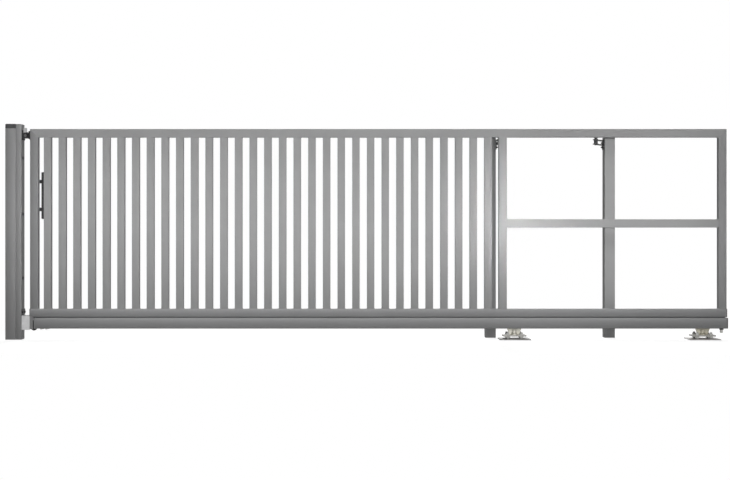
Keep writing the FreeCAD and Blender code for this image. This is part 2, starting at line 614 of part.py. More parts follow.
guide = new_body("guide_channel")
guide_outline = rectangle("half_frame", "guide_back", "guide_low", "leaf_top")
prism(guide, "YZ_Plane", [guide_outline], "leaf_start", "leaf_end")
channel_roof = place_of("leaf_top") - NEAR
channel_side = place_of("guide_back") - NEAR
soften(guide, "Fillet", "guide_round", lambda edge: along_x(edge) and edge.CenterOfMass.z > channel_roof
       and edge.CenterOfMass.y > channel_side)
guide_room = rectangle("half_frame + guide_wall", "guide_back - guide_wall",
                       "guide_low", "leaf_top - guide_wall")
cut(guide, "YZ_Plane", [guide_room], "leaf_start", "leaf_end")

caps = new_body("rail_caps")
rail_end = rectangle("-half_frame", "half_frame", "leaf_low", "rail_top")
prism(caps, "YZ_Plane", [rail_end], "leaf_start - rail_cap_thick", "leaf_start")
prism(caps, "YZ_Plane", [rail_end], "leaf_end", "leaf_end + rail_cap_thick")
soften(caps, "Fillet", "frame_round", along_x)


# Track under the leaf: a box profile with a slot between two inner lips

track = new_body("track_beam")
track_block = rectangle("-half_track", "half_track", "track_low", "track_top")
prism(track, "YZ_Plane", [track_block], "track_start", "track_end")
soften(track, "Fillet", "track_round", along_x)
track_room = rectangle("-inner_track", "inner_track", "track_floor", "track_roof")
cut(track, "YZ_Plane", [track_room], "track_start", "track_end")
room_side = place_of("inner_track")
soften(track, "Fillet", "track_inner_round",
       lambda edge: along_x(edge) and abs(abs(edge.CenterOfMass.y) - room_side) < NEAR)
slot = rectangle("-half_slot", "half_slot", "track_low", "track_floor")
cut(track, "YZ_Plane", [slot], "track_start", "track_end")

strip = new_body("track_strip")
prism(strip, "YZ_Plane", [rectangle("-strip_width / 2", "strip_width / 2", "track_top", "leaf_low")],
      "track_start", "track_end - strip_inset")

# The fork plugs the lead end of the track, and its tongue holds the end roller between two cheeks.
fork = new_body("track_fork")
prism(fork, "YZ_Plane", [track_block], "flange_front", "track_start")
soften(fork, "Fillet", "track_round", along_x)
roller_room = rectangle("-cheek_inner", "cheek_inner", "track_low", "fork_low")
cut(fork, "YZ_Plane", [roller_room], "flange_front", "track_start")
prism(fork, "YZ_Plane", [rectangle("-plug_half", "plug_half", "fork_low", "plug_roof")],
      "track_start", "track_start + fork_length")
plug_side = place_of("plug_half")
soften(fork, "Fillet", "track_inner_round",
       lambda edge: along_x(edge) and abs(abs(edge.CenterOfMass.y) - plug_side) < NEAR)
prism(fork, "YZ_Plane", [rectangle("-cheek_outer", "cheek_outer", "fork_low", "fork_low + tongue_tall")],
      "cheek_front", "flange_front")
cheek_side = rectangle("cheek_front", "track_start", "cheek_low", "fork_low")
prism(fork, "XZ_Plane", [cheek_side], "cheek_inner", "cheek_outer")
prism(fork, "XZ_Plane", [cheek_side], "-cheek_outer", "-cheek_inner")
nose_line = place_of("cheek_front") + NEAR
soften(fork, "Fillet", "cheek_round", lambda edge: along_y(edge) and edge.CenterOfMass.x < nose_line)
end_pin = circle("end_roller_x", "end_roller_z", "end_pin_radius")
prism(fork, "XZ_Plane", [end_pin], "-cheek_outer", "cheek_outer")

end_roller = new_body("end_roller", "end_roller_x", None, "end_roller_z")
end_profile = [
    ("end_pin_radius + running_fit", "-end_roller_half"),
    ("end_roller_radius - roller_edge", "-end_roller_half"),
    ("end_roller_radius", "roller_edge - end_roller_half"),
    ("end_roller_radius", "-roller_groove_half"),
    ("end_roller_radius - roller_groove", "0"),
    ("end_roller_radius", "roller_groove_half"),
    ("end_roller_radius", "end_roller_half - roller_edge"),
    ("end_roller_radius - roller_edge", "end_roller_half"),
    ("end_pin_radius + running_fit", "end_roller_half"),
]
turned(end_roller, "XY_Plane", "Y_Axis", [end_profile])

rear_cap = new_body("track_rear_cap")
prism(rear_cap, "YZ_Plane", [track_block], "track_end", "track_end + track_cap_thick")
soften(rear_cap, "Fillet", "track_round", along_x)
cap_face = place_of("track_end") + place_of("track_cap_thick") - NEAR
soften(rear_cap, "Chamfer", "rail_cap_edge", lambda edge: edge.BoundBox.XMin > cap_face)
prism(rear_cap, "YZ_Plane", [rectangle("-plug_half", "plug_half", "plug_floor", "plug_roof")],
      "track_end - plug_length", "track_end")
plug_end = place_of("track_end") - NEAR
soften(rear_cap, "Fillet", "track_inner_round", lambda edge: along_x(edge) and edge.CenterOfMass.x < plug_end
       and abs(abs(edge.CenterOfMass.y) - plug_side) < NEAR)

stop = new_body("rear_stop", "stop_x")
stop_profile = [
    ("0", "stop_low"), ("stop_radius - stop_edge", "stop_low"), ("stop_radius", "stop_low + stop_edge"),
    ("stop_radius", "stop_neck - stop_edge"), ("stop_radius - stop_edge", "stop_neck"),
    ("stop_shank", "stop_neck"), ("stop_shank", "track_floor"), ("0", "track_floor"),
]
turned(stop, "XZ_Plane", "Z_Axis", [stop_profile])
stop_nut = rectangle("-stop_nut_half", "stop_nut_half", "-stop_nut_width / 2", "stop_nut_width / 2")
prism(stop, "XY_Plane", [stop_nut], "track_floor", "track_floor + stop_nut_thick")


# Leaf fittings

buffer_body = new_body("lead_buffer")
prism(buffer_body, "YZ_Plane", [rectangle("-nose_half", "nose_half", "nose_low", "nose_high")],
      "buffer_face - nose_reach", "buffer_face")
nose_tip = place_of("buffer_face") - place_of("nose_reach") + NEAR
soften(buffer_body, "Fillet", "nose_round", lambda edge: edge.BoundBox.XMax < nose_tip)
flange = rectangle("-buffer_flange_half", "buffer_flange_half", "buffer_low", "buffer_high")
prism(buffer_body, "YZ_Plane", [flange], "buffer_face", "leaf_start")

handle = new_body("pull_handle")
prism(handle, "XY_Plane", [circle("handle_x", "handle_y", "handle_radius")], "handle_low", "handle_high")
soften(handle, "Chamfer", "handle_edge", lambda edge: edge.Curve.TypeId == "Part::GeomCircle")
levels = ("standoff_low", "standoff_high")
rosettes = [circle("standoff_x", level, "rosette_radius") for level in levels]
prism(handle, "XZ_Plane", rosettes, "half_frame", "half_frame + rosette_thick")
# Each leg leans from its rosette to the bar, so its foot stays flat on the upright.
for level in levels:
    foot_outline = circle("standoff_x", level, "standoff_radius")
    bar_outline = circle("handle_x", level, "standoff_radius")
    foot = outline_sketch(handle, "XZ_Plane", [foot_outline], "-half_frame")
    at_bar = outline_sketch(handle, "XZ_Plane", [bar_outline], "-handle_y")
    leg = handle.newObject("PartDesign::AdditiveLoft", "handle_leg")
    leg.Profile = foot
    leg.Sections = [at_bar]
    leg.Ruled = True
    doc.recompute()


# Checks and export

faulty = [item.Name for item in doc.Objects if "Invalid" in item.State or "Error" in item.State]
for body in nodes:
    if body.Shape.isNull() or not body.Shape.isValid() or body.Shape.Volume <= 0:
        faulty.append(body.Label)
if faulty:
    raise RuntimeError("not sound: " + ", ".join(faulty))

os.makedirs("parts", exist_ok=True)
for body in nodes:
    body.Shape.exportStep("parts/" + body.Label + ".step")
    box = body.Shape.BoundBox
    print("%-24s solids %2d  volume %10.0f  X %.1f %.1f  Y %.1f %.1f  Z %.1f %.1f" % (
        body.Label, len(body.Shape.Solids), body.Shape.Volume,
        box.XMin, box.XMax, box.YMin, box.YMax, box.ZMin, box.ZMax))
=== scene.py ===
import math

import bmesh
import bpy
import numpy as np
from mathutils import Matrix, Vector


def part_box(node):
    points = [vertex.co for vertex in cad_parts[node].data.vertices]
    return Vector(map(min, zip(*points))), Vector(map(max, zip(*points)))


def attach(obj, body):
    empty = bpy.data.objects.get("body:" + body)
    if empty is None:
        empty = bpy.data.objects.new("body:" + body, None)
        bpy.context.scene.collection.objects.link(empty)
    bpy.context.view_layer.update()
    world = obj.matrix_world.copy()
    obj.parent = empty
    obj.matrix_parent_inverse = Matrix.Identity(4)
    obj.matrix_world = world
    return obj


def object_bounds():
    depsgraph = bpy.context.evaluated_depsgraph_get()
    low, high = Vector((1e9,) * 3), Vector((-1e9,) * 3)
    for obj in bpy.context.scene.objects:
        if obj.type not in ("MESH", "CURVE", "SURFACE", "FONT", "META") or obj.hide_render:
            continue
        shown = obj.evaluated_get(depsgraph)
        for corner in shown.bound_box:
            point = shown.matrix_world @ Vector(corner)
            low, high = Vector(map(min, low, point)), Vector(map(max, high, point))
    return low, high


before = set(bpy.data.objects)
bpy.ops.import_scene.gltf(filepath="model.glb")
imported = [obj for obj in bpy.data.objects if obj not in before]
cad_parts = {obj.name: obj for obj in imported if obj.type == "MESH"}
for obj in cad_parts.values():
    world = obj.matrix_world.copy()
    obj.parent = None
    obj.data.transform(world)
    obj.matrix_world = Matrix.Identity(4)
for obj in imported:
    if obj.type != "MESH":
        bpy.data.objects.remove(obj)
cad_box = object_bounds()

# Looks of the sliding gate: its paints, metals and mouldings, its welds and fasteners, and the studio.
# Metres, in the frame of the part: X along the gate, Y to the back, Z up.

MM = 0.001
X, Y, Z = range(3)
LEFT = (-1, 0, 0)
RIGHT = (1, 0, 0)
FORWARD = (0, -1, 0)
BACKWARD = (0, 1, 0)
UP = (0, 0, 1)
DOWN = (0, 0, -1)
GROUND = "ground_parts"
LEAF = "leaf"
CARRIAGES = ("front", "rear")


# Places read from the frame

def low(node):
    """Lowest corner of a node."""
    return np.array(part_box(node)[0])


def high(node):
    """Highest corner of a node."""
    return np.array(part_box(node)[1])


def middle(node):
    """Middle of a node's box."""
    return (low(node) + high(node)) / 2


PICKET_WIDTH = 56.5 * MM
PICKET_PITCH = 110.5 * MM
picket_row = high("pickets")[X] - low("pickets")[X]
picket_count = int(round((picket_row - PICKET_WIDTH) / PICKET_PITCH)) + 1
picket_starts = low("pickets")[X] + PICKET_PITCH * np.arange(picket_count)
picket_sides = (low("pickets")[Y], high("pickets")[Y])
frame_sides = (low("top_rail")[Y], high("top_rail")[Y])
rail_top = high("bottom_rail")[Z]
top_rail_low = low("top_rail")[Z]
track_low = low("track_beam")[Z]
channel_front = high("catch_channel")[X]
plate_front = high("lower_catch_plate")[X]


# Surfaces

# For each way that a piece can face: across, up and out
AXES = {
    "+x": (BACKWARD, UP, RIGHT),
    "-x": (UP, BACKWARD, LEFT),
    "-y": (RIGHT, UP, FORWARD),
    "+z": (RIGHT, BACKWARD, UP),
    "-z": (BACKWARD, RIGHT, DOWN),
}
SEAM_WIDTH = 5 * MM
SEAM_HEIGHT = 0.5 * MM
JOIN_DISTANCE = 1e-6
SHARP_ANGLE = math.radians(32)


def grid_faces(rows, columns):
    """Quads of a grid whose columns close into a ring."""
    row = np.arange(rows - 1)[:, None]
    column = np.arange(columns)[None, :]
    following = (column + 1) % columns
    corners = (row * columns + column, row * columns + following,
               (row + 1) * columns + following, (row + 1) * columns + column)
    return np.stack(corners, axis=-1).reshape(-1, 4)


def around(centre, axis, radius, height):
    """A point at each radius and angle round an axis: centre + r cos t across + r sin t up + h out.

    radius and height are grids of one row per profile point and one column per angle.
    """
    across, up, out = (np.array(vector, float) for vector in AXES[axis])
    angle = np.linspace(0, 2 * np.pi, radius.shape[1], endpoint=False)[None, :, None]
    ring = np.cos(angle) * across + np.sin(angle) * up
    points = np.array(centre) + radius[:, :, None] * ring + height[:, :, None] * out
    return points.reshape(-1, 3), grid_faces(*radius.shape)


def turned(centre, axis, profile):
    """A turned piece: its profile of (radius, height) points carried once round the axis."""
    columns = 32
    radius, height = np.array(profile, float).T
    once_round = np.ones((1, columns))
    return around(centre, axis, radius[:, None] * once_round, height[:, None] * once_round)


def hex_head(centre, axis, size):
    """A hexagon head on a round washer face, with the chamfer that cuts its six corners.

    Its size is (flats, height, washer radius). The hexagon's radius at angle t is half the flats over cos of
    t folded into one sixth of a turn. The top edge drops by tan 30 degrees times what the corner stands out
    from the chamfer circle.
    """
    flats, height, washer = size
    columns = 36
    chamfer_share = 0.95
    washer_share = 0.1
    angle = np.linspace(0, 2 * np.pi, columns, endpoint=False)
    folded = np.mod(angle, np.pi / 3) - np.pi / 6
    hexagon = flats / 2 / np.cos(folded)
    chamfer = np.full(columns, chamfer_share * flats / 2)
    edge = height - (hexagon - chamfer) * math.tan(math.pi / 6)
    rim = np.full(columns, washer)
    foot = np.full(columns, washer_share * height)
    top = np.full(columns, height)
    nought = np.zeros(columns)
    radius = np.stack([nought, rim, rim, hexagon, hexagon, chamfer, nought])
    rise = np.stack([nought, nought, foot, foot, edge, top, top])
    return around(centre, axis, radius, rise)


def threaded(centre, axis, radius, pitch, length):
    """A screw thread: radius plus a triangle wave of height over pitch less the share of a turn."""
    columns = 24
    rows_per_turn = 6
    depth = 0.32 * pitch
    rows = int(round(length / pitch)) * rows_per_turn + 1
    height = np.linspace(0, length, rows)[:, None] * np.ones((1, columns))
    turn = np.arange(columns)[None, :] / columns
    wave = np.abs(2 * np.mod(height / pitch - turn, 1) - 1)
    crest = radius + depth * wave
    crest[[0, -1]] = radius
    ends = np.zeros((1, columns))
    body = np.concatenate([ends, crest, ends])
    level = np.concatenate([height[:1], height, height[-1:]])
    return around(centre, axis, body, level)


def corner_bead(start, end, leg_one, leg_two, leg):
    """A rippled fillet weld in the corner of two faces.

    The quarter-round profile leg (cos f one + sin f two) runs from start to end. The leg swells with
    the sine of the way along, once a ripple, and closes to a point at both ends.
    """
    ripple = 1.4 * leg
    swell = 0.1
    bluntness = 10
    root = 0.1
    profile_points = 5
    fewest_rows = 9
    start, end, one, two = (np.array(vector, float) for vector in (start, end, leg_one, leg_two))
    length = np.linalg.norm(end - start)
    way = np.linspace(0, 1, max(fewest_rows, int(round(length / ripple)) * 2 + 1))
    closing = np.sqrt(1 - np.abs(2 * way - 1) ** bluntness)
    size = leg * closing * (1 + swell * np.sin(2 * np.pi * way * length / ripple))
    turn = np.linspace(0, np.pi / 2, profile_points)[:, None]
    profile = np.cos(turn) * one + np.sin(turn) * two
    profile = np.concatenate([profile, -root * (one + two)[None, :]])
    points = start + way[:, None, None] * (end - start) + size[:, None, None] * profile
    return points.reshape(-1, 3), grid_faces(len(way), len(profile))


def ring_bead(centre, axis, radius, leg):
    """A rippled fillet weld round a neck.

    The quarter-round profile leg (cos f outward + sin f upward) is carried once round. The leg swells with
    the sine of the angle, once a ripple, and the root of the bead lies a little inside both faces.
    """
    columns = 120
    ripples = 26
    swell = 0.12
    root = 0.2 * MM
    profile_points = 5
    angle = np.linspace(0, 2 * np.pi, columns, endpoint=False)
    size = leg * (1 + swell * np.sin(angle * ripples))
    turn = np.linspace(0, np.pi / 2, profile_points)[:, None]
    outward = radius + np.cos(turn) * size
    upward = np.sin(turn) * size
    outward = np.concatenate([outward, np.full((1, columns), radius - root), outward[:1]])
    upward = np.concatenate([upward, np.full((1, columns), -root), upward[:1]])
    return around(centre, axis, outward, upward)


def flush_seam(start, end, normal):
    """A butt weld that was ground nearly flush: a half ellipse of the seam's width and height along a line.

    It closes to a point at both ends, and its underside lies inside the metal.
    """
    rows = 13
    bluntness = 12
    profile_points = 7
    start, end, normal = (np.array(vector, float) for vector in (start, end, normal))
    along = (end - start) / np.linalg.norm(end - start)
    side = np.cross(normal, along)
    way = np.linspace(0, 1, rows)
    closing = np.sqrt(1 - np.abs(2 * way - 1) ** bluntness)
    turn = np.linspace(0, np.pi, profile_points)[:, None]
    profile = SEAM_WIDTH / 2 * np.cos(turn) * side + SEAM_HEIGHT * np.sin(turn) * normal
    profile = np.concatenate([profile, -SEAM_HEIGHT * normal[None, :]])
    points = start + way[:, None, None] * (end - start) + closing[:, None, None] * profile
    return points.reshape(-1, 3), grid_faces(len(way), len(profile))


def dress(name, pieces, material, body):
    """Puts surfaces into one mesh, closes their seams and lets it ride on a body."""
    offsets = np.cumsum([0] + [len(points) for points, faces in pieces[:-1]])
    points = np.concatenate([piece[0] for piece in pieces])
    faces = np.concatenate([piece[1] + offset for piece, offset in zip(pieces, offsets)])
    mesh = bpy.data.meshes.new(name)
    mesh.from_pydata(points.tolist(), [], faces.tolist())
    shell = bmesh.new()
    shell.from_mesh(mesh)
    bmesh.ops.remove_doubles(shell, verts=shell.verts, dist=JOIN_DISTANCE)
    bmesh.ops.recalc_face_normals(shell, faces=shell.faces)
    shell.to_mesh(mesh)
    shell.free()
    mesh.shade_smooth()
    mesh.set_sharp_from_angle(angle=SHARP_ANGLE)
    mesh.materials.append(material)
    piece = bpy.data.objects.new(name, mesh)
    bpy.context.scene.collection.objects.link(piece)
    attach(piece, body)


# Steps that the materials are made of

FIRST_COLOUR = 6
SECOND_COLOUR = 7
MIXED_COLOUR = 2
WHITE = (1.0, 1.0, 1.0, 1.0)
WHOLE = (0.0, 1.0)
NOT_METAL = 0.0
CLOUD_EDGES = (0.3, 0.7)
CROWN_POWER = 2


def add(tree, kind, inputs=None, **settings):
    """A node with its settings, its values and its links."""
    node = tree.nodes.new(kind)
    for key, value in settings.items():
        setattr(node, key, value)
    for key, value in (inputs or {}).items():
        if isinstance(value, bpy.types.NodeSocket):
            tree.links.new(value, node.inputs[key])
        else:
            node.inputs[key].default_value = value
    return node


def start_material(name, metallic, specular):
    """A material with its shader and the object's own coordinates."""
    material = bpy.data.materials.new(name)
    material.use_nodes = True
    tree = material.node_tree
    shader = tree.nodes["Principled BSDF"]
    shader.inputs["Metallic"].default_value = metallic
    shader.inputs["Specular IOR Level"].default_value = specular
    place = add(tree, "ShaderNodeTexCoord").outputs["Object"]
    return material, tree, shader, place


def connect(tree, shader, tone, gloss, normal):
    """Gives a shader its tone, its gloss and its relief."""
    for key, value in (("Base Color", tone), ("Roughness", gloss), ("Normal", normal)):
        tree.links.new(value, shader.inputs[key])


def coordinate(tree, place, axis):
    """One coordinate of a place."""
    return add(tree, "ShaderNodeSeparateXYZ", {"Vector": place}).outputs[axis]


def stretched(tree, place, scale):
    """A place scaled along each axis, which draws a noise out into strokes."""
    return add(tree, "ShaderNodeMapping", {"Vector": place, "Scale": scale}).outputs["Vector"]


def noise(tree, place, grain):
    """The value of a noise. Its grain is (grains to the metre, detail, roughness)."""
    scale, detail, roughness = grain
    return add(tree, "ShaderNodeTexNoise", {"Vector": place, "Scale": scale, "Detail": detail,
                                            "Roughness": roughness}).outputs["Fac"]


def spread(tree, value, edges, ends):
    """A value carried from between two edges to between two ends, smoothly at both."""
    return add(tree, "ShaderNodeMapRange", {"Value": value, "From Min": edges[0], "From Max": edges[1],
                                            "To Min": ends[0], "To Max": ends[1]},
               interpolation_type="SMOOTHSTEP").outputs["Result"]


def patches(tree, place, grain, edges, ends):
    """Patches of a noise, carried from between two edges to between two ends."""
    return spread(tree, noise(tree, place, grain), edges, ends)


def math_node(tree, operation, one, two=0.0, three=0.0):
    """One step of arithmetic."""
    return add(tree, "ShaderNodeMath", {0: one, 1: two, 2: three}, operation=operation).outputs[0]


def greatest(tree, *values):
    """The greatest of some values."""
    most = values[-1]
    for value in values[-2::-1]:
        most = math_node(tree, "MAXIMUM", value, most)
    return most


def opaque(colour):
    """A colour with nothing seen through it, or the socket that gives one."""
    return colour if isinstance(colour, bpy.types.NodeSocket) else (*colour, 1.0)


def mixed(tree, share, one, two):
    """Two colours mixed by a share."""
    inputs = {"Factor": share, FIRST_COLOUR: opaque(one), SECOND_COLOUR: opaque(two)}
    return add(tree, "ShaderNodeMix", inputs, data_type="RGBA").outputs[MIXED_COLOUR]


def scaled(colour, factor):
    """A colour made lighter or darker by a factor."""
    return tuple(factor * part for part in colour)


def bump(tree, height, distance, normal=None):
    """A normal tilted by a height, where distance is what a height of one stands for."""
    inputs = {"Height": height, "Distance": distance, "Strength": 1.0}
    if normal is not None:
        inputs["Normal"] = normal
    return add(tree, "ShaderNodeBump", inputs).outputs["Normal"]


def crown_height(tree, place, crown):
    """Height of a slightly crowned tube face: it drops with the square of the distance from a crest line.

    The crown is (axis, crest, span, slope at the end of the span, pitch). A pitch repeats it for a row of
    tubes.
    """
    axis, crest, span, slope, pitch = crown
    offset = math_node(tree, "SUBTRACT", coordinate(tree, place, axis), crest)
    if pitch:
        offset = math_node(tree, "WRAP", offset, pitch / 2, -pitch / 2)
    share = math_node(tree, "DIVIDE", math_node(tree, "ABSOLUTE", offset), span)
    drop = math_node(tree, "POWER", share, CROWN_POWER)
    return math_node(tree, "MULTIPLY", drop, -slope * span / CROWN_POWER)


# Materials of the gate

GREY = (0.357, 0.358, 0.360)
# Lighter and darker copies of the one grey paint, one for each kind of tube: painted light and painted shade
# for how the lamps fall on it
RAIL_SHADED_GREY = (0.347, 0.348, 0.350)
LOW_SHADED_GREY = (0.332, 0.333, 0.337)
LEAD_SHADED_GREY = (0.322, 0.323, 0.325)
CATCH_LIT_GREY = (0.378, 0.379, 0.381)
POST_LIT_GREY = (0.376, 0.377, 0.379)
# Painted shade: the dark grey of the strip where the bottom rail meets the track beam stands for the shade in
# that recess
GAP_SHADE_GREY = (0.120, 0.121, 0.123)
BLACK = (0.030, 0.030, 0.031)
DUST = (0.40, 0.395, 0.395)
# Painted light: the pale grey that the upper part of a level tube is painted towards, as if lit from above
PAINTED_TOP_LIGHT = (0.55, 0.552, 0.56)
PICKET_CROWN = 0.25
RAIL_CROWN = 0.03
LOW_RAIL_CROWN = 0.35
POST_CROWN = 0.25
LEAD_CROWN = 0.7
CATCH_CROWN = 0.8
MIDDLE_CREST = 0.5
FAR_CREST = 1.0


def powder_coat(name, colour, crown=None, painted_light_edge=None):
    """Satin grey powder coat: orange peel, cloudy gloss, fine pigment grain and a little dust low down.

    Given the (bottom, top) of a level tube, its upper part is painted paler in faint patches: painted light
    from above.
    """
    specular = 0.04
    tone_grain = (2.2, 4.0, 0.5)
    pigment_grain = (1900.0, 1.0, 0.5)
    dust_grain = (14.0, 6.0, 0.7)
    top_light_grain = (9.0, 5.0, 0.6)
    gloss_grain = (6.0, 5.0, 0.6)
    peel_grain = (520.0, 2.0, 0.4)
    speckle_edges = (0.35, 0.75)
    dull_shade, bright_shade, pigment_shade = 0.96, 1.04, 1.5
    pigment_share = (0.0, 0.12)
    dust_levels = (0.02, 0.42)
    dust_fade = (1.0, 0.0)
    dust_share = (0.02, 0.16)
    top_light_reach = 0.35
    top_light_share = (0.0, 0.75)
    top_light_patches = (0.85, 1.0)
    gloss_range = (0.66, 0.80)
    peel_depth = 0.06 * MM
    material, tree, shader, place = start_material(name, NOT_METAL, specular)
    tone = mixed(tree, patches(tree, place, tone_grain, CLOUD_EDGES, WHOLE), scaled(colour, dull_shade),
                 scaled(colour, bright_shade))
    pigment = patches(tree, place, pigment_grain, speckle_edges, pigment_share)
    tone = mixed(tree, pigment, tone, scaled(colour, pigment_shade))
    level = coordinate(tree, place, Z)
    dusty = math_node(tree, "MULTIPLY", spread(tree, level, dust_levels, dust_fade),
                      patches(tree, place, dust_grain, speckle_edges, dust_share))
    tone = mixed(tree, dusty, tone, DUST)
    # Painted light: the upper part of a level tube painted paler, as if lit from above, in faint patches
    if painted_light_edge:
        bottom, top = painted_light_edge
        rise = top_light_reach * (top - bottom)
        top_light = spread(tree, level, (bottom + rise, top + rise), top_light_share)
        patchy = patches(tree, place, top_light_grain, CLOUD_EDGES, top_light_patches)
        tone = mixed(tree, math_node(tree, "MULTIPLY", top_light, patchy), tone, PAINTED_TOP_LIGHT)
    gloss = patches(tree, place, gloss_grain, CLOUD_EDGES, gloss_range)
    normal = bump(tree, crown_height(tree, place, crown), distance=1.0) if crown else None
    normal = bump(tree, noise(tree, place, peel_grain), peel_depth, normal)
    connect(tree, shader, tone, gloss, normal)
    return material


def black_coat(name, grey_from=None):
    """Black powder coat: a finer, duller texture with worn lighter patches.

    Past the place grey_from along X it carries the grey of the leaf.
    """
    specular = 0.45
    rubbed_grain = (24.0, 6.0, 0.65)
    gloss_grain = (40.0, 3.0, 0.5)
    texture_grain = (1400.0, 2.0, 0.5)
    rubbed_edges = (0.5, 0.75)
    rubbed_share = (0.0, 0.5)
    rubbed_shade = 2.2
    gloss_range = (0.38, 0.55)
    texture_depth = 0.08 * MM
    border = 0.3 * MM
    material, tree, shader, place = start_material(name, NOT_METAL, specular)
    wear_and_painted_shade = patches(tree, place, rubbed_grain, rubbed_edges, rubbed_share)
    tone = mixed(tree, wear_and_painted_shade, BLACK, scaled(BLACK, rubbed_shade))
    if grey_from is not None:
        along = coordinate(tree, place, X)
        tone = mixed(tree, spread(tree, along, (grey_from - border, grey_from + border), WHOLE), tone, GREY)
    gloss = patches(tree, place, gloss_grain, CLOUD_EDGES, gloss_range)
    normal = bump(tree, noise(tree, place, texture_grain), texture_depth)
    connect(tree, shader, tone, gloss, normal)
    return material


def moulding(name, colour, roughness, spark=700.0):
    """Moulded plastic or rubber: a spark-eroded grain, flow clouds and faint scuffs."""
    specular = 0.4
    cloud_grain = (18.0, 3.0, 0.5)
    scuff_strokes = (60.0, 60.0, 420.0)
    scuff_grain = (1.0, 4.0, 0.7)
    gloss_grain = (55.0, 3.0, 0.5)
    spark_grain = (spark, 2.0, 0.5)
    scuff_edges = (0.62, 0.8)
    scuff_share = (0.0, 0.35)
    scuff_haze = 0.01
    dull_shade, bright_shade, scuff_shade = 0.85, 1.15, 1.8
    glossier, duller = 0.07, 0.09
    spark_depth = 0.12 * MM
    material, tree, shader, place = start_material(name, NOT_METAL, specular)
    cloud = patches(tree, place, cloud_grain, CLOUD_EDGES, WHOLE)
    tone = mixed(tree, cloud, scaled(colour, dull_shade), scaled(colour, bright_shade))
    scuff = patches(tree, stretched(tree, place, scuff_strokes), scuff_grain, scuff_edges, scuff_share)
    tone = mixed(tree, scuff, tone, tuple(part + scuff_haze for part in scaled(colour, scuff_shade)))
    gloss = patches(tree, place, gloss_grain, CLOUD_EDGES, (roughness - glossier, roughness + duller))
    normal = bump(tree, noise(tree, place, spark_grain), spark_depth)
    connect(tree, shader, tone, gloss, normal)
    return material


def zinc(name, pale, deep, spangle, roughness, metallic=0.75, wear_and_painted_shade=None):
    """Zinc plate: crystal spangles of differing tone and gloss, cloudy passivation and fine handling marks.

    The last argument is (axis, place, reach, share): past that place along the axis, give or take its reach,
    the plate is darkened as painted shade.
    """
    specular = 0.5
    cloud_grain = (30.0, 5.0, 0.6)
    mark_strokes = (90.0, 900.0, 900.0)
    mark_grain = (1.0, 3.0, 0.6)
    facet_tone = 0.35
    cloud_tone = 0.6
    facet_gloss = 0.12
    cloud_gloss = 0.08
    painted_shade_factor = 0.3
    mark_depth = 0.03 * MM
    material, tree, shader, place = start_material(name, metallic, specular)
    cells = add(tree, "ShaderNodeTexVoronoi", {"Vector": place, "Scale": spangle})
    facet = add(tree, "ShaderNodeSeparateColor", {"Color": cells.outputs["Color"]}).outputs["Red"]
    cloud = patches(tree, place, cloud_grain, CLOUD_EDGES, WHOLE)
    paleness = math_node(tree, "MULTIPLY_ADD", facet, facet_tone,
                         math_node(tree, "MULTIPLY", cloud, cloud_tone))
    tone = mixed(tree, paleness, deep, pale)
    # Painted shade: the plate darkened past a place along an axis
    if wear_and_painted_shade:
        axis, edge, reach, share = wear_and_painted_shade
        along = coordinate(tree, place, axis)
        darkened = spread(tree, along, (edge - reach, edge + reach), (0.0, share))
        tone = mixed(tree, darkened, tone, scaled(deep, painted_shade_factor))
    gloss = math_node(tree, "MULTIPLY_ADD", facet, facet_gloss,
                      spread(tree, cloud, WHOLE, (roughness - cloud_gloss, roughness)))
    normal = bump(tree, noise(tree, stretched(tree, place, mark_strokes), mark_grain), mark_depth)
    connect(tree, shader, tone, gloss, normal)
    return material


def tube_coat(node, colour, slope, axis, crest=MIDDLE_CREST):
    """Powder coat for one tube whose front face is crowned about a line at a share of its width."""
    width = (high(node) - low(node))[axis]
    crown = (axis, low(node)[axis] + crest * width, max(crest, 1 - crest) * width, slope, 0.0)
    return powder_coat(node + "_coat", colour, crown)


def low_tube_coat(node):
    """Powder coat for a level tube near the ground: a darker copy of the grey as painted shade, with its
    upper part painted paler as painted light from above.
    """
    bottom, top = low(node)[Z], high(node)[Z]
    crown = (Z, (bottom + top) / 2, (top - bottom) / 2, LOW_RAIL_CROWN, 0.0)
    return powder_coat(node + "_coat", LOW_SHADED_GREY, crown, (bottom, top))


FORK_GREY_BEFORE_TRACK = 8.5 * MM
POCKET_LIP = 28 * MM
SHEET_PALE = (0.68, 0.68, 0.685)
SHEET_DEEP = (0.54, 0.54, 0.545)
SHEET_SPANGLE = 90.0
SHEET_ROUGHNESS = 0.46
lip_start = high("lower_catch_pocket")[X] - POCKET_LIP

# Where painted shade darkens the zinc: axis, place, reach and share
# Painted shade on the pocket's flared lips, which face away from the lamps
lip_painted_shade = (X, lip_start, 2 * MM, 0.85)
# Painted shade on the upper part of each carriage neck, under the track beam
neck_painted_shade = (Z, 62 * MM, 26 * MM, 0.68)
# Painted shade on the back halves of the studs, nuts and bolts
bolt_painted_shade = (Y, 0.0, 2 * MM, 0.65)

picket_half = PICKET_WIDTH / 2
picket_crown = (X, picket_starts[0] + picket_half, picket_half, PICKET_CROWN, PICKET_PITCH)
picket_coat = powder_coat("picket_coat", GREY, picket_crown)
weld_coat = powder_coat("weld_coat", GREY)
# Painted shade in the recess where the bottom rail meets the track beam
gap_shade_coat = powder_coat("gap_strip_shade_coat", GAP_SHADE_GREY)
cap_plastic = moulding("cap_plastic", (0.066, 0.067, 0.069), roughness=0.46)
end_plastic = moulding("end_cap_plastic", (0.075, 0.075, 0.078), roughness=0.5)
nylon = moulding("black_nylon", (0.020, 0.020, 0.021), roughness=0.42)
rubber = moulding("black_rubber", (0.012, 0.012, 0.013), roughness=0.62, spark=420.0)
black = black_coat("black_coat")
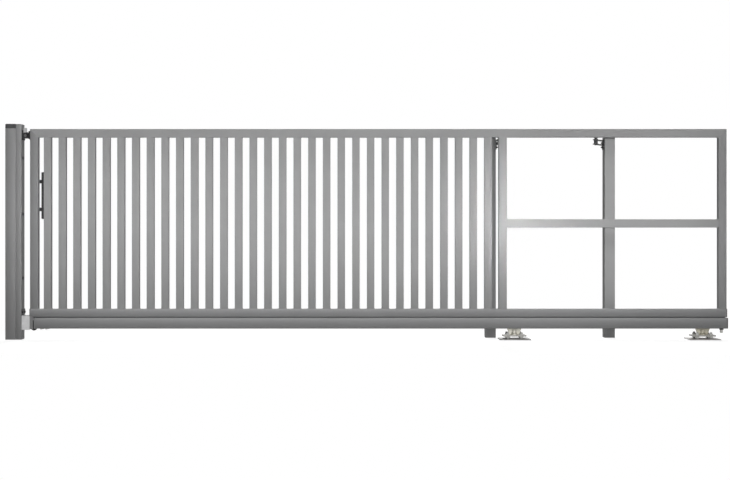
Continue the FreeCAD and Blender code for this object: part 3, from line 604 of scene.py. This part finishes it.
# The fork is black; seen in the gap between the pocket's lip and the track beam, its black also stands as
# painted shade for that gap
fork_black_and_gap_shade = black_coat("fork_coat", grey_from=low("track_beam")[X] - FORK_GREY_BEFORE_TRACK)
pocket_zinc = zinc("pocket_zinc", SHEET_PALE, SHEET_DEEP, SHEET_SPANGLE, SHEET_ROUGHNESS, wear_and_painted_shade=lip_painted_shade)
sheet_zinc = zinc("sheet_zinc", SHEET_PALE, SHEET_DEEP, SHEET_SPANGLE, SHEET_ROUGHNESS)
tab_zinc = zinc("tab_zinc", (0.47, 0.47, 0.474), (0.36, 0.36, 0.364), SHEET_SPANGLE, SHEET_ROUGHNESS)
# Lighter and darker copies of one zinc for the two carriages' necks: painted light on the front one, where
# the passage lamp falls
neck_zinc_lit_and_shaded = {
    "front": zinc("front_neck_zinc_lit", (0.93, 0.91, 0.82), (0.68, 0.66, 0.575), spangle=130.0, roughness=0.44,
                  wear_and_painted_shade=neck_painted_shade),
    "rear": zinc("rear_neck_zinc_shaded", (0.84, 0.80, 0.67), (0.54, 0.507, 0.405), spangle=130.0, roughness=0.44,
                 wear_and_painted_shade=neck_painted_shade),
}
# Lighter and darker copies of one zinc for the two carriages' base plates: painted light on the rear one
plate_zinc_lit_and_shaded = {
    "front": zinc("front_plate_zinc_shaded", (0.56, 0.55, 0.54), (0.39, 0.382, 0.372), spangle=110.0, roughness=0.6,
                  metallic=0.2),
    "rear": zinc("rear_plate_zinc_lit", (0.70, 0.68, 0.665), (0.50, 0.485, 0.47), spangle=110.0, roughness=0.6,
                 metallic=0.2),
}
clamp_steel = zinc("clamp_steel", (0.17, 0.17, 0.172), (0.11, 0.11, 0.112), spangle=200.0, roughness=0.5,
                   metallic=0.4)
seat_zinc = zinc("seat_zinc", (0.66, 0.65, 0.62), (0.48, 0.47, 0.44), spangle=110.0, roughness=0.5,
                 metallic=0.3)
# Bolt steel whose back halves carry painted shade
bolt_steel = zinc("bolt_steel", (0.72, 0.715, 0.69), (0.54, 0.535, 0.51), spangle=240.0, roughness=0.42,
                  metallic=0.5, wear_and_painted_shade=bolt_painted_shade)

NODE_COATS = {
    "top_rail": tube_coat("top_rail", RAIL_SHADED_GREY, RAIL_CROWN, Z),
    "bottom_rail": low_tube_coat("bottom_rail"),
    "tail_brace": tube_coat("tail_brace", GREY, RAIL_CROWN, Z),
    "lead_upright": tube_coat("lead_upright", LEAD_SHADED_GREY, LEAD_CROWN, X, FAR_CREST),
    "tail_upright": tube_coat("tail_upright", LOW_SHADED_GREY, POST_CROWN, X),
    "divider_upright": tube_coat("divider_upright", GREY, POST_CROWN, X),
    "guide_channel": tube_coat("guide_channel", RAIL_SHADED_GREY, RAIL_CROWN, Z),
    "track_beam": low_tube_coat("track_beam"),
    "catch_post": tube_coat("catch_post", CATCH_LIT_GREY, CATCH_CROWN, X, FAR_CREST),
    "catch_channel": tube_coat("catch_channel", CATCH_LIT_GREY, CATCH_CROWN, X, FAR_CREST),
    "near_guide_post": tube_coat("near_guide_post", POST_LIT_GREY, RAIL_CROWN, X),
    "far_guide_post": tube_coat("far_guide_post", POST_LIT_GREY, RAIL_CROWN, X),
    "pickets": picket_coat,
    "track_strip": gap_shade_coat,
    "track_fork": fork_black_and_gap_shade,
    "catch_post_cap": cap_plastic,
    "near_post_cap": cap_plastic,
    "far_post_cap": cap_plastic,
    "rail_caps": end_plastic,
    "track_rear_cap": end_plastic,
    "upper_catch_jaws": nylon,
    "upper_catch_tab": tab_zinc,
    "lower_catch_plate": black,
    "lower_catch_pocket": pocket_zinc,
    "near_guide_bracket": black,
    "far_guide_bracket": black,
    "near_guide_roller": nylon,
    "far_guide_roller": nylon,
    "end_roller": nylon,
    "lead_buffer": rubber,
    "rear_stop": bolt_steel,
    "pull_handle": black,
}
for carriage in CARRIAGES:
    NODE_COATS[carriage + "_carriage_base"] = plate_zinc_lit_and_shaded[carriage]
    NODE_COATS[carriage + "_carriage_seat"] = seat_zinc
    NODE_COATS[carriage + "_carriage_neck"] = neck_zinc_lit_and_shaded[carriage]
    NODE_COATS[carriage + "_carriage_studs"] = bolt_steel
    NODE_COATS[carriage + "_carriage_wheels"] = nylon

for node, coat in NODE_COATS.items():
    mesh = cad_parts[node].data
    mesh.materials.clear()
    mesh.materials.append(coat)


# Welds of the leaf

FRAME_WELD_LEG = 3.5 * MM
FRAME_WELD_INSET = 2.5 * MM
rail_corners = ((rail_top, UP), (top_rail_low, DOWN))


def cross_bead(x, outward, level, away, sides):
    """A fillet weld across a tube, from near its front to near its back."""
    front, back = sides
    return corner_bead((x, front + FRAME_WELD_INSET, level), (x, back - FRAME_WELD_INSET, level),
                       outward, away, FRAME_WELD_LEG)


def upright_welds(start, end, sides):
    """Fillet welds at the foot and head of an upright between the rails, on its two narrow sides."""
    return [cross_bead(x, outward, level, away, sides)
            for x, outward in ((start, LEFT), (end, RIGHT)) for level, away in rail_corners]


picket_welds = []
for start in picket_starts:
    picket_welds += upright_welds(start, start + PICKET_WIDTH, picket_sides)
dress("picket_welds", picket_welds, weld_coat, LEAF)

leaf_start, leaf_end = low("top_rail")[X], high("top_rail")[X]
leaf_top = high("top_rail")[Z]
lead_end = high("lead_upright")[X]
tail_start = low("tail_upright")[X]
divider_start, divider_end = low("divider_upright")[X], high("divider_upright")[X]
brace_start, brace_end = low("tail_brace")[X], high("tail_brace")[X]
brace_low, brace_top = low("tail_brace")[Z], high("tail_brace")[Z]

frame_welds = upright_welds(divider_start, divider_end, frame_sides)
frame_welds += [cross_bead(x, inward, level, away, frame_sides)
                for x, inward in ((lead_end, RIGHT), (tail_start, LEFT)) for level, away in rail_corners]
frame_welds += [cross_bead(x, inward, level, away, frame_sides)
                for x, inward in ((brace_start, RIGHT), (brace_end, LEFT))
                for level, away in ((brace_low, DOWN), (brace_top, UP))]
dress("frame_welds", frame_welds, weld_coat, LEAF)

# Start and end, along the gate and up, of each seam on a face of the leaf's frame
seam_lines = [((leaf_start, leaf_top), (lead_end, top_rail_low)),
              ((leaf_end, leaf_top), (tail_start, top_rail_low))]
seam_lines += [((low(upright)[X], rail_top), (high(upright)[X], rail_top))
               for upright in ("lead_upright", "tail_upright")]
seam_lines += [((x, brace_low), (x, brace_top)) for x in (brace_start, brace_end)]
seam_lines += [((divider_start, level), (divider_end, level)) for level in (rail_top, top_rail_low)]
seams = [flush_seam((x_from, y, z_from), (x_to, y, z_to), outward)
         for y, outward in zip(frame_sides, (FORWARD, BACKWARD))
         for (x_from, z_from), (x_to, z_to) in seam_lines]
dress("frame_seams", seams, weld_coat, LEAF)


# Fasteners of the leaf. A hexagon's size is its flats, its height and the radius of its washer face.

TRACK_BOLT = (15 * MM, 7 * MM, 9.5 * MM)
TRACK_BOLT_PLACES = (227 * MM, 266 * MM)
TRACK_BOLT_SIDE = 25 * MM
COLLAR_PROFILE = ((8.2 * MM, 0), (15 * MM, 0), (15.6 * MM, 1 * MM), (15.6 * MM, 9 * MM),
                  (14.4 * MM, 10.5 * MM), (11.1 * MM, 10.5 * MM), (8.2 * MM, 0))

track_bolts = [hex_head((x, y, track_low), "-z", TRACK_BOLT)
               for x in TRACK_BOLT_PLACES for y in (-TRACK_BOLT_SIDE, TRACK_BOLT_SIDE)]
dress("track_bolts", track_bolts, bolt_steel, LEAF)

collar = [turned((middle("rear_stop")[X], 0, track_low), "-z", COLLAR_PROFILE)]
dress("stop_collar", collar, rubber, LEAF)


# Fasteners and welds of the catch post

SMALL_WELD_LEG = 3 * MM
FIXING_LEVELS = (1366 * MM, 944 * MM, 461 * MM)
FIXING_PROFILE = ((0, 0), (13.4 * MM, 0), (13 * MM, 0.6 * MM), (11 * MM, 2.2 * MM), (8 * MM, 3.4 * MM),
                  (4 * MM, 4.1 * MM), (0, 4.2 * MM))
JAW_PLATE = 4 * MM
JAW_BOLT = (11 * MM, 4.5 * MM, 6.5 * MM)
JAW_BOLT_LEVELS = (1507.5 * MM, 1565.5 * MM)
JAW_BOLT_SIDE = 21 * MM
JAW_WELD_LEVELS = (1517 * MM, 1554 * MM)
JAW_WELD_SIDE = 27 * MM
CLAMP_BOLT = (15 * MM, 6 * MM, 10.5 * MM)
CLAMP_BOLT_X = 110 * MM
CLAMP_BOLT_LEVEL = 1532 * MM
PLATE_BOLT = (17 * MM, 6.4 * MM, 11 * MM)
PLATE_BOLT_LEVEL = 206 * MM
PLATE_BOLT_SIDE = 22 * MM
POCKET_WELD_SIDE = 35 * MM

fixings = [turned((channel_front, 0, level), "+x", FIXING_PROFILE) for level in FIXING_LEVELS]
dress("channel_fixing_caps", fixings, nylon, GROUND)

jaw_front = channel_front + JAW_PLATE
jaw_bolts = [hex_head((jaw_front, y, level), "+x", JAW_BOLT)
             for level in JAW_BOLT_LEVELS for y in (-JAW_BOLT_SIDE, JAW_BOLT_SIDE)]
dress("jaw_bolts", jaw_bolts, black, GROUND)
clamp_bolt = [hex_head((CLAMP_BOLT_X, low("upper_catch_jaws")[Y], CLAMP_BOLT_LEVEL), "-y", CLAMP_BOLT)]
dress("jaw_clamp_bolt", clamp_bolt, clamp_steel, GROUND)

plate_bolts = [hex_head((plate_front, y, PLATE_BOLT_LEVEL), "+x", PLATE_BOLT)
               for y in (-PLATE_BOLT_SIDE, PLATE_BOLT_SIDE)]
dress("lower_plate_bolts", plate_bolts, black, GROUND)

pocket_top = high("lower_catch_pocket")[Z]
pocket_weld = [corner_bead((plate_front, -POCKET_WELD_SIDE, pocket_top),
                           (plate_front, POCKET_WELD_SIDE, pocket_top), RIGHT, UP, SMALL_WELD_LEG)]
dress("pocket_weld", pocket_weld, sheet_zinc, GROUND)

jaw_welds = [corner_bead((jaw_front, y, JAW_WELD_LEVELS[0]), (jaw_front, y, JAW_WELD_LEVELS[1]),
                         outward, RIGHT, SMALL_WELD_LEG)
             for y, outward in ((-JAW_WELD_SIDE, FORWARD), (JAW_WELD_SIDE, BACKWARD))]
dress("jaw_welds", jaw_welds, nylon, GROUND)


# Fasteners and welds of the top guides

BRACKET_PLATE = 5 * MM
BRACKET_NUT = (17 * MM, 8 * MM, 11 * MM)
BRACKET_BOLT_LEVELS = (1461 * MM, 1493.5 * MM)
BRACKET_BOLT_Y = 160 * MM
BOLT_RADIUS = 5 * MM
BOLT_PITCH = 1.5 * MM
BOLT_START = 7.5 * MM
BOLT_LENGTH = 7.5 * MM
BRACKET_WELD_CORNERS = ((1480 * MM, UP), (1513 * MM, UP), (1474 * MM, DOWN), (1507 * MM, DOWN))
BRACKET_WELD_FROM = 140 * MM
BRACKET_WELD_TO = 182 * MM
SPINDLE_NUT = (19 * MM, 8 * MM, 12 * MM)

bracket_faces = (
    ("near", high("near_guide_post")[X] + BRACKET_PLATE, "+x", RIGHT, BOLT_START),
    ("far", low("far_guide_post")[X] - BRACKET_PLATE, "-x", LEFT, -BOLT_START),
)
for label, face, facing, inward, bolt_start in bracket_faces:
    bolts = []
    for level in BRACKET_BOLT_LEVELS:
        bolts.append(hex_head((face, BRACKET_BOLT_Y, level), facing, BRACKET_NUT))
        bolts.append(threaded((face + bolt_start, BRACKET_BOLT_Y, level), facing,
                              BOLT_RADIUS, BOLT_PITCH, BOLT_LENGTH))
    dress(label + "_bracket_bolts", bolts, black, GROUND)
    beads = [corner_bead((face, BRACKET_WELD_FROM, level), (face, BRACKET_WELD_TO, level),
                         inward, away, SMALL_WELD_LEG) for level, away in BRACKET_WELD_CORNERS]
    dress(label + "_bracket_welds", beads, black, GROUND)
    roller = label + "_guide_roller"
    spindle_x, spindle_y = middle(roller)[:2]
    nut = [hex_head((spindle_x, spindle_y, low(roller)[Z]), "-z", SPINDLE_NUT)]
    dress(label + "_spindle_nut", nut, black, label + "_roller")


# Threads, nut faces and welds of the carriages

STUD_NUT_RADIUS = 12 * MM
STUD_NUT_HEIGHT = 12 * MM
STUD_RADIUS = 8.05 * MM
STUD_PITCH = 2.0 * MM
STUD_SUNK = 0.5 * MM
STUD_END = 9.6 * MM
STUD_FOOT = 6 * MM
NUT_FACE_PROFILE = ((8.3 * MM, 0), (11.6 * MM, 0), (11.2 * MM, 0.5 * MM), (8.3 * MM, 0.5 * MM), (8.3 * MM, 0))
NECK_RADIUS = 27 * MM

for carriage in CARRIAGES:
    studs = carriage + "_carriage_studs"
    centre_x, centre_y = middle(studs)[:2]
    stud_x = high(studs)[X] - centre_x - STUD_NUT_RADIUS
    stud_y = high(studs)[Y] - centre_y - STUD_NUT_RADIUS / math.cos(math.pi / 6)
    seat_top = high(carriage + "_carriage_seat")[Z]
    base_top = high(carriage + "_carriage_base")[Z]
    nut_top = seat_top + STUD_NUT_HEIGHT
    threads = []
    nut_faces = []
    for x in (centre_x - stud_x, centre_x + stud_x):
        for y in (centre_y - stud_y, centre_y + stud_y):
            threads.append(threaded((x, y, nut_top - STUD_SUNK), "+z", STUD_RADIUS, STUD_PITCH, STUD_END))
            threads.append(threaded((x, y, base_top), "+z", STUD_RADIUS, STUD_PITCH, STUD_FOOT))
            nut_faces.append(turned((x, y, nut_top), "+z", NUT_FACE_PROFILE))
    dress(carriage + "_stud_threads", threads, bolt_steel, GROUND)
    dress(carriage + "_nut_faces", nut_faces, bolt_steel, GROUND)
    neck_weld = [ring_bead((centre_x, centre_y, seat_top), "+z", NECK_RADIUS, SMALL_WELD_LEG)]
    dress(carriage + "_neck_weld", neck_weld, neck_zinc_lit_and_shaded[carriage], GROUND)


# Studio: a white floor that fades into a white background, soft light from all around and gridded softboxes

FLOOR_REACH = 40.0
FLOOR_GREY = (0.50, 0.50, 0.50, 1.0)
FLOOR_GLOW = 0.80
BACKGROUND_GLOW = 1.0
FADE_DISTANCES = (0.25, 1.1)
END_FADE = 0.45
AMBIENT = 0.265
MIRRORED = 0.6

# Place, target, width, height, power and the angle in degrees that the grid leaves
SOFTBOXES = {
    "front_softbox": ((3.64, -4.5, 1.27), (2.60, 0.0, 1.25), 5.6, 1.75, 13.3, 16),
    "centre_softbox": ((2.64, -5.0, 1.5), (2.64, 0.0, 1.1), 1.0, 0.8, 7.7, 120),
    "overhead_softbox": ((2.64, -1.9, 2.9), (2.64, 0.0, 0.5), 5.0, 0.4, 4.9, 40),
    "far_softbox": ((2.64, -13.0, 1.7), (2.64, 0.0, 0.9), 2.0, 1.6, 11.0, 60),
    "passage_softbox": ((5.8, -8.8, 1.35), (3.82, 0.0, 0.95), 0.4, 0.4, 0.82, 7),
    "back_softbox": ((2.64, 3.4, 4.4), (2.64, 0.0, 0.9), 5.5, 2.2, 24.0, 10),
    "open_front_softbox": ((8.60, -4.5, 1.27), (7.56, 0.0, 1.25), 2.7, 1.75, 8.4, 14),
    "open_back_softbox": ((7.20, 3.4, 4.4), (7.20, 0.0, 0.9), 3.4, 2.2, 15.0, 10),
}

PICTURE_WIDTH = 730
FOCAL_PIXELS = 1050.0
SENSOR_WIDTH = 36.0
FARTHEST_SEEN = 200.0
CAMERA_PLACE = (2.660, -7.916, 0.748)


def emission(tree, strength):
    """A white glow."""
    return add(tree, "ShaderNodeEmission", {"Color": WHITE, "Strength": strength}).outputs[0]


def mixed_shader(tree, share, one, two):
    """Two shaders mixed by a share."""
    return add(tree, "ShaderNodeMixShader", {0: share, 1: one, 2: two}).outputs[0]


def studio_floor():
    """A pale floor with a soft shadow. Away from the gate its shade fades into the white background."""
    mesh = bpy.data.meshes.new("floor")
    centre = middle("top_rail")[X]
    left, right = centre - FLOOR_REACH, centre + FLOOR_REACH
    corners = [(left, -FLOOR_REACH, 0), (right, -FLOOR_REACH, 0),
               (right, FLOOR_REACH, 0), (left, FLOOR_REACH, 0)]
    mesh.from_pydata(corners, [], [(0, 1, 2, 3)])
    floor = bpy.data.objects.new("floor", mesh)
    bpy.context.scene.collection.objects.link(floor)
    material = bpy.data.materials.new("floor_paper")
    material.use_nodes = True
    tree = material.node_tree
    tree.nodes.clear()
    rays = add(tree, "ShaderNodeLightPath").outputs
    seen = greatest(tree, rays["Is Camera Ray"], rays["Is Glossy Ray"], rays["Is Transmission Ray"])
    place = add(tree, "ShaderNodeTexCoord").outputs["Object"]
    along = math_node(tree, "ABSOLUTE", math_node(tree, "SUBTRACT", coordinate(tree, place, X), centre))
    past_end = math_node(tree, "SUBTRACT", along, (cad_box[1][X] - cad_box[0][X]) / 2 - END_FADE)
    beyond = greatest(tree, math_node(tree, "ABSOLUTE", coordinate(tree, place, Y)), past_end)
    fade = spread(tree, beyond, FADE_DISTANCES, WHOLE)
    paper = add(tree, "ShaderNodeBsdfDiffuse", {"Color": FLOOR_GREY}).outputs[0]
    lit = add(tree, "ShaderNodeAddShader", {0: paper, 1: emission(tree, FLOOR_GLOW)}).outputs[0]
    faded = mixed_shader(tree, fade, lit, emission(tree, BACKGROUND_GLOW))
    add(tree, "ShaderNodeOutputMaterial", {"Surface": mixed_shader(tree, seen, paper, faded)})
    mesh.materials.append(material)


def studio_world():
    """White where it is seen, pale where it is mirrored, and an even soft light on everything else."""
    world = bpy.data.worlds.new("studio")
    bpy.context.scene.world = world
    world.use_nodes = True
    tree = world.node_tree
    tree.nodes.clear()
    rays = add(tree, "ShaderNodeLightPath").outputs
    bounced = greatest(tree, rays["Is Glossy Ray"], rays["Is Transmission Ray"])
    shown = greatest(tree, rays["Is Camera Ray"], math_node(tree, "MULTIPLY", bounced, MIRRORED))
    strength = greatest(tree, shown, AMBIENT)
    glow = add(tree, "ShaderNodeBackground", {"Color": WHITE, "Strength": strength}).outputs[0]
    add(tree, "ShaderNodeOutputWorld", {"Surface": glow})


def softbox(name, place, target, width, height, power, grid_angle):
    """An area light at a place, turned to a target, with a grid that keeps its light within an angle."""
    light = bpy.data.lights.new(name, "AREA")
    light.shape = "RECTANGLE"
    light.size = width
    light.size_y = height
    light.energy = power
    light.spread = math.radians(grid_angle)
    lamp = bpy.data.objects.new(name, light)
    bpy.context.scene.collection.objects.link(lamp)
    direction = np.array(target) - np.array(place)
    across = math.atan2(-direction[X], direction[Y])
    tilt = math.atan2(math.hypot(direction[X], direction[Y]), -direction[Z])
    lamp.location = place
    lamp.rotation_euler = (tilt, 0.0, across)
    lamp.visible_camera = False


def camera():
    """The camera: level, in front of the passage, at the height and distance that the picture gives."""
    lens = bpy.data.cameras.new("camera")
    lens.sensor_width = SENSOR_WIDTH
    lens.lens = FOCAL_PIXELS / PICTURE_WIDTH * SENSOR_WIDTH
    lens.clip_end = FARTHEST_SEEN
    eye = bpy.data.objects.new("camera", lens)
    bpy.context.scene.collection.objects.link(eye)
    eye.location = CAMERA_PLACE
    eye.rotation_euler = (math.pi / 2, 0.0, 0.0)
    bpy.context.scene.camera = eye


studio_floor()
studio_world()
for name, settings in SOFTBOXES.items():
    softbox(name, *settings)
camera()
bpy.context.scene.view_settings.view_transform = "Standard"
